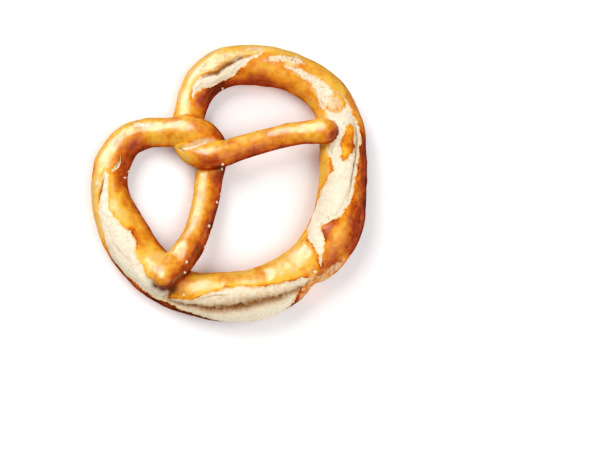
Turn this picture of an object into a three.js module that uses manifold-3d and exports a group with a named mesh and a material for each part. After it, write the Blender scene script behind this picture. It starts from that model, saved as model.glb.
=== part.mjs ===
// Soft pretzel: one baked rope of dough, laid in the classic knot, with coarse salt on it.
//
// The dough follows a hand-laid route: tip of the right arm, over the twist, round the upper and
// right lobe, along the thick belly, round the left lobe, through the twist, tip of the left arm.
// Every crossing is baked together, so the rope, its twist and its two fused tips are one body.
// Millimetres, +Z up, standing on the table at z = 0; the belly is toward -Y, the lobes toward +Y.
import * as THREE from "three";
import { mergeVertices } from "three/addons/utils/BufferGeometryUtils.js";
import Module from "manifold-3d";

// Driving dimensions, in millimetres unless the name says otherwise.
const SIDES = 24; // faces round the rope
const RINGS_PER_STATION = 3; // sections between two stations of the route
const HEIGHT_TO_WIDTH = 0.93; // dough sags a little as it proves and bakes
const TIP_RINGS = 3; // sections in each rounded tip
const SPLIT_DEPTH = 1.3; // how far a split is sunk below the crust beside it
const SPLIT_EDGE_DEG = 10; // slope of a split's edge, in degrees round the rope
const GRAIN_GAP = 0.3; // clearance between a salt grain and its seat in the crust
const GRAIN_SUNK = 0.42; // share of a grain's height that is pressed into the crust
const BELOW_TABLE = 60; // depth of the block that cuts the flat baked base
const TABLE_SPAN = 260; // width of that block

// Stations of the rope: [x, y, height of the centre, radius].
const ROUTE = [
  // right arm, from its tip on the belly up to the twist
  [53.3, -6.8, 20.5, 6.7],
  [41.0, 2.2, 17.0, 6.6],
  [27.0, 9.4, 14.8, 6.4],
  [11.8, 14.9, 16.0, 6.6],
  // over the other strand, then down and under it
  [1.0, 18.8, 17.0, 7.3],
  [-6.2, 23.8, 15.8, 7.6],
  [-9.0, 31.8, 12.0, 7.7],
  [-6.2, 40.6, 8.4, 8.2],
  [0.2, 47.4, 7.0, 8.8],
  // upper and right lobe
  [8.5, 54.3, 7.0, 9.1],
  [20.0, 59.8, 7.8, 10.2],
  [34.0, 59.0, 8.6, 11.2],
  [50.0, 48.0, 8.7, 11.3],
  [62.0, 34.0, 8.5, 11.0],
  [68.0, 20.0, 8.5, 11.0],
  [69.0, 5.2, 8.9, 11.5],
  // belly, the thickest part
  [62.9, -10.3, 9.6, 12.4],
  [53.4, -23.4, 10.2, 13.0],
  [40.5, -39.0, 10.7, 13.6],
  [27.5, -50.6, 11.2, 14.3],
  [13.2, -56.6, 11.0, 13.9],
  [-1.5, -58.3, 10.3, 12.9],
  [-18.4, -57.0, 10.6, 13.4],
  [-32.2, -52.5, 10.8, 13.6],
  [-46.3, -42.7, 10.3, 13.1],
  [-55.5, -33.5, 9.3, 11.7],
  [-61.8, -24.5, 9.2, 11.6],
  // left lobe
  [-66.3, -11.0, 10.0, 12.7],
  [-67.6, 2.0, 10.4, 13.2],
  [-66.4, 14.5, 10.4, 13.3],
  [-64.2, 25.5, 9.5, 12.1],
  [-60.5, 37.5, 8.3, 10.5],
  [-53.2, 48.4, 7.7, 9.9],
  [-43.6, 55.6, 7.3, 9.5],
  [-32.8, 58.5, 6.8, 8.8],
  [-22.3, 55.6, 6.6, 8.3],
  // over the first strand, then under it
  [-13.8, 48.6, 10.0, 8.0],
  [-5.6, 42.0, 13.8, 8.2],
  [-0.2, 34.8, 13.8, 8.7],
  [0.6, 27.4, 10.8, 8.6],
  [-3.4, 20.8, 7.8, 8.1],
  // left arm, down to its tip on the belly
  [-10.5, 14.4, 7.0, 7.6],
  [-22.5, 2.6, 8.6, 7.2],
  [-36.8, -8.2, 12.5, 7.1],
  [-51.3, -15.2, 17.5, 7.8],
  [-63.2, -17.7, 21.5, 6.7],
];

// The rope is built in three lengths, each of which never crosses itself.
const LENGTHS = [
  [0, 13],
  [13, 33],
  [33, ROUTE.length - 1],
];

// Splits where the crust tore open in the oven: stations along the route, then the two edges in
// degrees round the rope (0 is its outer side, 90 the top, 180 its inner side).
const SPLITS = [
  { name: "top_split", from: 9.2, to: 12.4, edges: [104, 148] },
  { name: "right_split", from: 14.8, to: 20.2, edges: [58, 128] },
  { name: "belly_split", from: 19.8, to: 26.4, edges: [5, 66] },
  { name: "left_split", from: 26.0, to: 31.0, edges: [28, 98] },
];

// Salt grains: [station, degrees round the rope, width, depth, height, turn in degrees].
const GRAINS = [
  [3.97, 24, 2.4, 1.8, 1.7, 20],
  [40.51, 39, 2.6, 2.0, 1.8, 65],
  [41.57, 10, 2.0, 1.7, 1.5, 10],
  [41.88, 28, 1.8, 2.3, 1.6, 35],
  [42.66, 34, 2.3, 1.9, 1.7, 80],
  [42.85, 2, 2.5, 2.0, 1.8, 50],
  [43.25, 12, 2.0, 1.6, 1.5, 15],
  [44.1, 56, 2.6, 2.0, 1.9, 40],
  [44.41, 30, 2.4, 1.9, 1.7, 70],
  [25.47, 73, 2.2, 1.8, 1.6, 25],
  [31.85, 154, 2.7, 2.1, 1.8, 55],
  [32.35, 172, 2.4, 2.0, 1.8, 5],
  [30.28, 172, 2.2, 1.8, 1.6, 75],
  [10.45, 170, 2.0, 1.6, 1.5, 30],
  [20.81, 60, 2.8, 2.2, 1.9, 45],
];

const CRUST = new THREE.MeshStandardMaterial({ color: 0xb4631f, roughness: 0.42, metalness: 0 });
const SALT = new THREE.MeshStandardMaterial({ color: 0xf4efe4, roughness: 0.35, metalness: 0 });

const wasm = await Module();
wasm.setup();

const centreLine = new THREE.CatmullRomCurve3(
  ROUTE.map(([x, y, z]) => new THREE.Vector3(x, y, z)),
  false,
  "catmullrom",
  0.5,
);
const girthLine = new THREE.CatmullRomCurve3(
  ROUTE.map(([, , , radius]) => new THREE.Vector3(radius, 0, 0)),
  false,
  "catmullrom",
  0.5,
);

// The rope at a station: its centre, radius, and the directions ahead, to the outer side and up.
function ropeAt(station) {
  const t = station / (ROUTE.length - 1);
  const ahead = centreLine.getTangent(t);
  const outer = new THREE.Vector3(0, 0, 1).cross(ahead).normalize();
  const up = new THREE.Vector3().crossVectors(ahead, outer);
  return { centre: centreLine.getPoint(t), radius: girthLine.getPoint(t).x, ahead, outer, up };
}

// How far the surface is sunk at a place on the rope: nothing outside the splits.
function sunkAt(station, degrees) {
  const { smoothstep } = THREE.MathUtils;
  let sunk = 0;
  for (const { from, to, edges } of SPLITS) {
    const along = smoothstep(station, from, from + 1) * (1 - smoothstep(station, to - 1, to));
    const in0 = smoothstep(degrees, edges[0] - SPLIT_EDGE_DEG, edges[0] + SPLIT_EDGE_DEG);
    const in1 = smoothstep(degrees, edges[1] - SPLIT_EDGE_DEG, edges[1] + SPLIT_EDGE_DEG);
    sunk = Math.max(sunk, SPLIT_DEPTH * along * in0 * (1 - in1));
  }
  return sunk;
}

// A point on a section of the rope, drawn in by `share` and pushed along by `slide` at a tip.
function sectionPoint(rope, station, degrees, share = 1, slide = 0) {
  const turn = THREE.MathUtils.degToRad(degrees);
  const reach = (rope.radius - sunkAt(station, degrees)) * share;
  return rope.centre
    .clone()
    .addScaledVector(rope.outer, Math.cos(turn) * reach)
    .addScaledVector(rope.up, Math.sin(turn) * reach * HEIGHT_TO_WIDTH)
    .addScaledVector(rope.ahead, slide);
}

// One length of rope between two stations, with a rounded tip wherever the route ends.
function ropeLength(from, to) {
  const sections = [];
  const steps = (to - from) * RINGS_PER_STATION;
  for (let i = 0; i <= steps; i++) {
    sections.push({ station: from + i / RINGS_PER_STATION, share: 1, slide: 0 });
  }
  let poles = [0, 0];
  if (from === 0) {
    const { radius } = ropeAt(from);
    for (let i = 1; i <= TIP_RINGS; i++) {
      const bend = ((i / (TIP_RINGS + 1)) * Math.PI) / 2;
      sections.unshift({ station: from, share: Math.cos(bend), slide: -radius * Math.sin(bend) });
    }
    poles[0] = -radius;
  }
  if (to === ROUTE.length - 1) {
    const { radius } = ropeAt(to);
    for (let i = 1; i <= TIP_RINGS; i++) {
      const bend = ((i / (TIP_RINGS + 1)) * Math.PI) / 2;
      sections.push({ station: to, share: Math.cos(bend), slide: radius * Math.sin(bend) });
    }
    poles[1] = radius;
  }

  const points = [];
  for (const { station, share, slide } of sections) {
    const rope = ropeAt(station);
    for (let side = 0; side < SIDES; side++) {
      points.push(sectionPoint(rope, station, (side * 360) / SIDES, share, slide));
    }
  }
  const startPole = points.length;
  points.push(sectionPoint(ropeAt(from), from, 0, 0, poles[0]));
  points.push(sectionPoint(ropeAt(to), to, 0, 0, poles[1]));

  const faces = [];
  const last = (sections.length - 1) * SIDES;
  for (let side = 0; side < SIDES; side++) {
    const next = (side + 1) % SIDES;
    for (let row = 0; row < last; row += SIDES) {
      faces.push(row + side, row + next, row + SIDES + next);
      faces.push(row + side, row + SIDES + next, row + SIDES + side);
    }
    faces.push(startPole, next, side);
    faces.push(startPole + 1, last + side, last + next);
  }
  return new THREE.BufferGeometry().setFromPoints(points).setIndex(faces);
}

// A salt crystal pressed into the crust; `clearance` makes the seat it sits in.
function grainGeometry([station, degrees, width, depth, height, turn], clearance = 0) {
  const rope = ropeAt(station);
  const angle = THREE.MathUtils.degToRad(degrees);
  const out = rope.outer
    .clone()
    .multiplyScalar(Math.cos(angle) * HEIGHT_TO_WIDTH)
    .addScaledVector(rope.up, Math.sin(angle))
    .normalize();
  const across = new THREE.Vector3().crossVectors(out, rope.ahead);
  const seat = sectionPoint(rope, station, degrees);
  seat.addScaledVector(out, height * (0.5 - GRAIN_SUNK));
  const more = 2 * clearance;
  return new THREE.DodecahedronGeometry(0.5)
    .rotateX(0.55)
    .scale(width + more, depth + more, height + more)
    .rotateZ(THREE.MathUtils.degToRad(turn))
    .applyMatrix4(new THREE.Matrix4().makeBasis(rope.ahead, across, out).setPosition(seat));
}

function solidOf(geometry) {
  geometry.deleteAttribute("normal");
  geometry.deleteAttribute("uv");
  const merged = mergeVertices(geometry, 1e-4);
  const mesh = new wasm.Mesh({
    numProp: 3,
    vertProperties: merged.attributes.position.array,
    triVerts: new Uint32Array(merged.index.array),
  });
  return new wasm.Manifold(mesh);
}

function geometryOf(solid) {
  const { vertProperties, triVerts } = solid.getMesh();
  const geometry = new THREE.BufferGeometry();
  geometry.setAttribute("position", new THREE.BufferAttribute(vertProperties, 3));
  geometry.setIndex(new THREE.BufferAttribute(triVerts, 1));
  geometry.computeVertexNormals();
  return geometry;
}

function addMesh(name, geometry, material) {
  const mesh = new THREE.Mesh(geometry, material);
  mesh.name = name;
  group.add(mesh);
}

const group = new THREE.Group();
group.name = "soft_pretzel";

let dough = LENGTHS.map(([from, to]) => solidOf(ropeLength(from, to))).reduce((a, b) => a.add(b));
const table = new THREE.BoxGeometry(TABLE_SPAN, TABLE_SPAN, BELOW_TABLE);
dough = dough.subtract(solidOf(table.translate(0, 0, -BELOW_TABLE / 2)));
for (const grain of GRAINS) {
  dough = dough.subtract(solidOf(grainGeometry(grain, GRAIN_GAP * 1.3)));
}
addMesh("pretzel", geometryOf(dough), CRUST);

GRAINS.forEach((grain, i) => {
  const name = "salt_grain_" + String(i + 1).padStart(2, "0");
  addMesh(name, geometryOf(solidOf(grainGeometry(grain))), SALT);
});

export default group;
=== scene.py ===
"""Soft pretzel: the baked look of one rope of dough in the classic knot, with coarse salt on it."""

import math

import bmesh
import bpy
import numpy as np
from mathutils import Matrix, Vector, noise


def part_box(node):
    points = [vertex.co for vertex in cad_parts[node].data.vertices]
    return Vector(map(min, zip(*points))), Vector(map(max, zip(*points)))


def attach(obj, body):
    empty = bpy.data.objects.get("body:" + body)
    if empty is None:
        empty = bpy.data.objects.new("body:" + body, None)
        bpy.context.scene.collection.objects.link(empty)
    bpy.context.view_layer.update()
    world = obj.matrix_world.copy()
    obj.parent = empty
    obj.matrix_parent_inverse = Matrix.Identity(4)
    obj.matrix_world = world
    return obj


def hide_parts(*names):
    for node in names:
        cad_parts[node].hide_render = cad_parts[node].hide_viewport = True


bl_info = {
    "name": "Soft Pretzel",
    "version": (1, 0, 0),
    "blender": (4, 5, 0),
    "location": "3D View > Sidebar > Pretzel",
    "description": "Builds a baked soft pretzel with torn crust, crumb and salt grains",
    "category": "Add Mesh",
}

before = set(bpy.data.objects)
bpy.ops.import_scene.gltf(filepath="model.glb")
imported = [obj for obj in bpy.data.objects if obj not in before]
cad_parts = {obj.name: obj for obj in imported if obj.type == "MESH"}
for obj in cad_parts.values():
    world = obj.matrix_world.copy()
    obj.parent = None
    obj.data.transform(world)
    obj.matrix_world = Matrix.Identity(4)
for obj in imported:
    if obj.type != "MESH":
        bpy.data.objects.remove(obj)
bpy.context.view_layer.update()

MM = 0.001

# The marks on the dough are placed by station, which counts along this route, and by degrees round
# the rope, where 0 is its outer side, 90 its top and 180 its inner side. Lengths are in millimetres.

# Stations of the rope: x, y, height of the centre, radius.
ROUTE = np.array([
    # right arm, from its tip on the belly up to the twist
    (53.3, -6.8, 20.5, 6.7), (41.0, 2.2, 17.0, 6.6), (27.0, 9.4, 14.8, 6.4), (11.8, 14.9, 16.0, 6.6),
    # over the other strand, then down and under it
    (1.0, 18.8, 17.0, 7.3), (-6.2, 23.8, 15.8, 7.6), (-9.0, 31.8, 12.0, 7.7), (-6.2, 40.6, 8.4, 8.2),
    (0.2, 47.4, 7.0, 8.8),
    # upper and right lobe
    (8.5, 54.3, 7.0, 9.1), (20.0, 59.8, 7.8, 10.2), (34.0, 59.0, 8.6, 11.2), (50.0, 48.0, 8.7, 11.3),
    (62.0, 34.0, 8.5, 11.0), (68.0, 20.0, 8.5, 11.0), (69.0, 5.2, 8.9, 11.5),
    # belly, the thickest part
    (62.9, -10.3, 9.6, 12.4), (53.4, -23.4, 10.2, 13.0), (40.5, -39.0, 10.7, 13.6),
    (27.5, -50.6, 11.2, 14.3), (13.2, -56.6, 11.0, 13.9), (-1.5, -58.3, 10.3, 12.9),
    (-18.4, -57.0, 10.6, 13.4), (-32.2, -52.5, 10.8, 13.6), (-46.3, -42.7, 10.3, 13.1),
    (-55.5, -33.5, 9.3, 11.7), (-61.8, -24.5, 9.2, 11.6),
    # left lobe
    (-66.3, -11.0, 10.0, 12.7), (-67.6, 2.0, 10.4, 13.2), (-66.4, 14.5, 10.4, 13.3),
    (-64.2, 25.5, 9.5, 12.1), (-60.5, 37.5, 8.3, 10.5), (-53.2, 48.4, 7.7, 9.9), (-43.6, 55.6, 7.3, 9.5),
    (-32.8, 58.5, 6.8, 8.8), (-22.3, 55.6, 6.6, 8.3),
    # over the first strand, then under it
    (-13.8, 48.6, 10.0, 8.0), (-5.6, 42.0, 13.8, 8.2), (-0.2, 34.8, 13.8, 8.7), (0.6, 27.4, 10.8, 8.6),
    (-3.4, 20.8, 7.8, 8.1),
    # left arm, down to its tip on the belly
    (-10.5, 14.4, 7.0, 7.6), (-22.5, 2.6, 8.6, 7.2), (-36.8, -8.2, 12.5, 7.1), (-51.3, -15.2, 17.5, 7.8),
    (-63.2, -17.7, 21.5, 6.7),
])

# Outlines of the tears in the crust.
TEARS = {
    "top": [
        (9.0, 93), (9.4, 100), (9.7, 113), (9.9, 127), (10.3, 139), (10.6, 141), (11.0, 144),
        (11.3, 135), (11.5, 117), (11.8, 91), (12.0, 79), (12.1, 60), (11.8, 79), (11.4, 84),
        (11.2, 97), (10.9, 106), (10.7, 114), (10.5, 103), (10.2, 93), (10.0, 82), (9.7, 79), (9.4, 80),
    ],
    "right": [
        (15.1, 126), (15.5, 128), (16.0, 118), (16.5, 112), (16.8, 131), (17.0, 135), (17.2, 121),
        (17.5, 116), (17.6, 127), (18.0, 147), (18.3, 155), (18.8, 175), (19.3, 174), (19.8, 154),
        (20.1, 121), (20.2, 94), (20.5, 60), (20.2, 73), (19.8, 93), (19.4, 115), (19.1, 100),
        (18.8, 80), (18.4, 70), (17.9, 62), (17.3, 52), (16.7, 42), (16.2, 38), (15.9, 45), (15.65, 54),
        (15.4, 62), (15.5, 74), (15.62, 86), (15.6, 100), (15.4, 114),
    ],
    "belly": [
        (26.3, 34), (25.9, 52), (25.4, 61), (24.8, 68), (24.5, 82), (24.2, 92), (23.9, 96), (23.7, 102),
        (23.3, 105), (23.0, 100), (22.5, 91), (22.2, 89), (21.8, 80), (21.5, 72), (21.2, 64),
        (21.1, 54), (21.3, 44), (21.6, 40), (21.8, 24), (22.0, 0), (22.2, -22), (22.8, -28),
        (23.3, -22), (23.8, -6), (24.3, 10), (24.8, 19), (25.6, 24),
    ],
    "left": [
        (30.4, 56), (30.1, 66), (29.6, 90), (29.1, 96), (28.9, 104), (28.6, 105), (28.3, 99),
        (28.0, 88), (27.5, 82), (27.1, 72), (26.9, 76), (26.6, 80), (26.3, 80), (26.16, 68),
        (26.14, 56), (26.1, 42), (26.3, 28), (26.6, 24), (26.9, 27), (27.2, 27), (27.6, 26), (27.8, 23),
        (28.2, 20), (28.5, 20), (28.9, 25), (29.2, 34), (29.6, 42), (29.9, 40), (30.3, 47),
    ],
    "left_streak": [
        (32.0, 80), (31.9, 90), (31.6, 94), (30.8, 90), (30.2, 82), (29.7, 84), (29.8, 64), (30.2, 48),
        (30.6, 50), (30.9, 57), (31.2, 67), (31.6, 77),
    ],
    "nick": [(32.95, 112), (32.7, 124), (32.3, 121), (31.95, 104), (32.1, 101), (32.4, 112), (32.7, 116)],
}
# Crust left standing inside a tear.
ISLANDS = {
    "right_flap": [
        (16.05, 68), (16.25, 56), (16.5, 64), (16.8, 62), (17.05, 74), (17.25, 92), (16.95, 93),
        (16.7, 96), (16.45, 88), (16.2, 80),
    ],
}
# Crevices by name, dented in and with painted shade at their bottoms: half width, depth, and a path whose
# left side has the greater degrees.
CREVICES = {
    "fold": (0.6, 1.0, [(5.8, 60), (6.1, 42), (6.25, 34)]),
    "top": (1.3, 2.2, [
        (10.15, 94), (10.3, 98), (10.5, 105), (10.7, 114), (10.9, 107), (11.2, 98), (11.5, 85),
        (11.75, 78),
    ]),
    "belly": (2.1, 2.6, [
        (21.2, 44), (21.45, 43), (21.7, 46), (22.15, 51), (22.5, 56), (22.8, 59), (23.1, 58),
        (23.35, 54), (23.6, 51), (23.9, 48), (24.2, 45), (24.8, 43), (25.7, 36), (26.1, 36),
    ]),
    "belly_left": (1.2, 1.4, [(23.9, 47), (24.3, 43), (25.0, 43), (25.5, 44), (26.1, 41), (26.3, 40)]),
    "belly_upper": (0.4, 0.7, [(24.5, 73), (24.25, 79), (24.0, 85), (23.6, 85)]),
    "right": (0.45, 0.6, [(15.9, 52), (16.2, 50), (16.5, 50), (17.0, 56), (17.3, 60)]),
    "right_crack": (0.5, 0.8, [(16.0, 57), (16.5, 49), (17.0, 55), (17.4, 65), (17.9, 72), (18.4, 76)]),
    "right_band": (0.5, 0.2, [(17.2, 66), (17.9, 74), (18.4, 84), (18.9, 95)]),
    "left_crack": (0.5, 1.2, [(30.6, 54), (30.95, 60), (31.2, 69), (31.8, 80)]),
    "left_pores": (0.7, 0.2, [(27.6, 66), (28.0, 66), (28.4, 59), (28.9, 56), (29.3, 62)]),
    "nick": (0.4, 0.8, [(32.1, 107), (32.2, 113), (32.6, 120), (32.9, 115)]),
    "beside_tip": (0.75, 1.3, [(26.3, 44), (26.13, 54), (26.08, 68), (26.05, 82), (26.0, 98)]),
}
# Slopes down to a crevice from its left side, whose crumb gets painted shade: width and depth.
SLOPES = {"top": (2.5, 0.2), "belly": (6.0, 1.3), "right": (3.0, 0.7), "left_pores": (2.0, 0.1)}
# Skin stretched thin and mottled, without a deep tear: how much of it is gone, and its outline.
RUBBED = {
    "top_patch": (0.9, [
        (12.1, 96), (12.2, 82), (12.4, 67), (12.7, 60), (13.0, 48), (13.4, 60), (13.1, 84), (12.8, 87),
        (12.5, 90),
    ]),
    "shoulder": (1.0, [
        (12.7, 94), (13.2, 85), (13.7, 82), (14.1, 82), (14.4, 78), (14.7, 75), (14.95, 82),
        (15.05, 98), (15.2, 110), (15.4, 130), (15.1, 137), (14.8, 132), (14.4, 124), (14.2, 114),
        (13.8, 108), (13.5, 108), (13.1, 104),
    ]),
    "shoulder_gold": (0.7, [
        (14.8, 78), (15.2, 72), (15.7, 72), (15.8, 98), (15.6, 122), (15.1, 112), (14.9, 98),
    ]),
    "shoulder_edge": (1.0, [
        (15.0, 80), (15.1, 70), (15.4, 62), (15.8, 68), (16.0, 60), (15.7, 53), (15.4, 52), (15.1, 62),
        (14.95, 73),
    ]),
    "top_flap": (0.7, [
        (9.3, 78), (9.7, 66), (10.4, 58), (11.0, 58), (11.6, 50), (12.0, 42), (12.2, 58), (11.9, 74),
        (11.3, 92), (10.8, 108), (10.4, 98), (10.0, 82),
    ]),
    "belly_end": (0.66, [
        (21.3, 60), (20.9, 60), (20.4, 48), (19.8, 30), (20.0, 4), (20.8, -14), (21.6, -24), (21.8, 0),
        (21.6, 34),
    ]),
    "lobe_patch": (1.0, [
        (34.4, 54), (34.6, 44), (35.0, 58), (35.5, 74), (35.4, 85), (35.0, 82), (34.4, 70),
    ]),
    "arm_streak": (0.6, [(2.2, 118), (1.6, 121), (1.0, 114), (0.9, 107), (1.6, 109), (2.2, 113)]),
    "left_top": (0.55, [
        (32.0, 78), (31.6, 76), (30.9, 62), (30.2, 50), (29.9, 78), (29.4, 96), (29.0, 106), (28.9, 98),
        (29.6, 70), (30.1, 36), (30.7, 30), (31.4, 44), (32.0, 62),
    ]),
}
# The pressed band where the twist closes, and the pale line along it, seen from above: x, y.
FOLD_BAND = [
    (-14.8, 35.6), (-10.3, 34.2), (-4.8, 32.2), (0.1, 29.8), (2.9, 27.5), (3.6, 25.8), (-1.6, 27.6),
    (-6.4, 29.4), (-10.9, 31.6),
]
FOLD_LINE = [(-14.6, 34.1), (-11.0, 31.5), (-6.4, 29.4), (-1.8, 28.0)]
FOLD_LINE_MM = 0.55  # half its width
FOLD_ABOVE_MM = 14.0  # only the upper strand is pressed
# Where the left arm's tip is baked softly onto the lobe beside it: x, y, height, reach, softness.
SOFT_JOIN = (-68.0, -10.0, 18.0, 11.5, 12.0)
# Hollows in the outline: station, degrees, radius, depth.
DENTS = ((21.05, 2, 6.5, 2.4), (21.2, -30, 6.0, 1.6), (44.2, 98, 6.5, 1.3))
# The swelling on the left arm's tip: x, y, height, reach, rise.
TIP_SWELLING = (-65.3, -21.4, 26.2, 4.2, 1.3)
# The cranny under the left arm's tip, dented in and painted dark as shadow: x, y, height, reach.
CRANNY = ((-69.8, -18.6, 22.0, 2.4), (-67.5, -22.1, 21.8, 3.6), (-64.7, -24.7, 20.8, 3.4))
# Wide stretches of crust painted paler, on sides that face the key light: partly crust that browned less,
# partly painted light.
PALE_AND_LIT_CRUST = {
    "top_shoulder": [
        (8.4, 10), (9.2, 75), (10.0, 88), (11.4, 82), (12.4, 60), (13.2, 30), (12.6, -20), (10.5, -30),
    ],
    "belly_top": [(21.0, 95), (22.5, 112), (24.5, 112), (25.4, 90), (24.8, 76), (23.2, 108), (21.8, 88)],
    "left_outer": [
        (32.0, 10), (32.05, 50), (32.1, 82), (31.5, 80), (31.1, 62), (30.6, 48), (29.6, 34), (29.2, 10),
        (29.8, -20), (31.2, -25),
    ],
}
# Spots that browned more (+) or less (-) than the dough around them, some of them painted shade and light,
# as noted: station, degrees, radius, amount.
SPOTS = (
    # right arm and twist
    (0.0, 60, 6, 0.14), (0.1, 0, 6, 0.1), (0.9, 95, 4, -0.1), (2.6, 60, 6, 0.06), (4.5, 56, 5, 0.24),
    (4.6, 20, 6, 0.16), (5.0, 76, 4, 0.16),
    # upper and right lobe
    # the browner spots near 150 to 170 degrees, on the loop's inner side, are partly browning and partly
    # painted shade
    (8.35, 138, 6, -0.18), (8.4, 70, 5, -0.12), (9.1, 118, 4, 0.2), (9.2, 150, 5, 0.18),
    (9.6, 168, 8, 0.16), (10.6, 165, 8, 0.22), (11.4, 150, 6, 0.12), (12.0, 162, 9, 0.2),
    (12.2, 118, 5, -0.08), (12.5, 152, 8, 0.14), (13.0, 165, 8, 0.18), (13.1, 154, 6, 0.12),
    (13.2, 30, 10, -0.12), (13.6, 150, 5, -0.14), (13.9, 168, 7, 0.14), (14.4, 30, 10, -0.18),
    (14.4, 158, 5, -0.12), (15.1, 20, 8, -0.22), (15.3, 34, 7, -0.12), (15.7, 30, 7, -0.25),
    (16.2, 32, 6, -0.18),
    # belly
    (16.7, 78, 5, 0.08), (16.9, 150, 5, -0.08), (17.35, 124, 4, 0.2), (17.8, 134, 4, 0.16),
    (18.0, 165, 5, 0.1), (19.05, 96, 2.6, 0.36), (19.35, 105, 3, 0.42), (19.6, 60, 6, -0.1),
    (19.6, 95, 2.6, 0.34), (20.0, 0, 8, -0.2), (21.0, 0, 9, -0.45), (21.0, 120, 6, -0.1),
    (21.3, -10, 6, -0.35), (22.2, 122, 6, 0.12), (23.2, 130, 7, -0.12), (23.8, -14, 8, 0.3),
    (24.4, 110, 6, -0.1), (24.7, 0, 8, 0.5), (25.5, 90, 4, 0.1), (25.6, 6, 8, 0.5),
    # left lobe
    (26.6, 12, 7, 0.5), (27.6, 10, 6, 0.4), (27.6, 120, 7, -0.2), (28.25, 6, 5, 0.3),
    (28.35, 106, 2.5, 0.24), (28.7, 6, 5, 0.16), (28.7, 108, 2.5, 0.3), (28.7, 132, 8, -0.22),
    # (30.4, 104) is a painted sheen
    (28.95, 106, 2, 0.25), (29.8, 122, 7, -0.14), (30.4, 104, 5, -0.16), (31.0, 112, 5, -0.12),
    (31.1, 148, 7, -0.2), (31.2, 118, 4, 0.1), (31.95, 22, 4, 0.36), (33.4, 80, 5, 0.14),
    (34.2, 105, 6, 0.1), (34.9, 140, 6, 0.2), (36.0, 80, 5, -0.12), (36.6, 120, 5, 0.12),
    # left arm
    (41.0, 60, 5, 0.08), (42.0, 150, 5, -0.08), (44.6, 110, 4, -0.08), (44.9, -40, 6, 0.3),
    (45.0, 20, 6, 0.24),
)


# --------------------------------------------------------------------------------------------
# The rope: where a point lies on it

HEIGHT_TO_WIDTH = 0.93  # the dough sags a little as it proves and bakes
SAMPLE_MM = 0.5  # spacing of the sections that points are measured against
STEPS_PER_STATION = 60  # fine steps that find the rope's length
COARSE = 8  # every eighth section is tried first
POINTS_AT_A_TIME = 8000  # keeps the tables of distances small
OTHER_STRAND_MM = 35.0  # this far along the rope, dough counts as another strand
AROUND_RADIUS_MM = 12.0  # turns degrees round the rope into millimetres for the tears
SEAM_MM = 1.6  # how softly two strands are baked into each other
RIM_MM = 1.4  # rounding where the sides meet the flat base


def unit(vectors):
    return vectors / np.maximum(np.linalg.norm(vectors, axis=-1, keepdims=True), 1e-9)


def spline(p0, p1, p2, p3, t):
    """The point a share t of the way from p1 to p2, on a smooth curve through all four."""
    bend = (2 * p0 - 5 * p1 + 4 * p2 - p3) * t**2 + (3 * p1 - p0 - 3 * p2 + p3) * t**3
    return 0.5 * (2 * p1 + (p2 - p0) * t + bend)


def along_route(stations):
    """x, y, height and radius in millimetres at the given station numbers."""
    knots = np.vstack([2 * ROUTE[0] - ROUTE[1], ROUTE, 2 * ROUTE[-1] - ROUTE[-2]])
    span = np.clip(stations.astype(int), 0, len(ROUTE) - 2)
    return spline(*(knots[span + k] for k in range(4)), (stations - span)[:, None])


def laid_flat(arc, degrees):
    """Millimetres along the rope and degrees round it, as a flat map in millimetres."""
    return np.stack([arc, np.radians(degrees) * AROUND_RADIUS_MM], 1)


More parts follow.
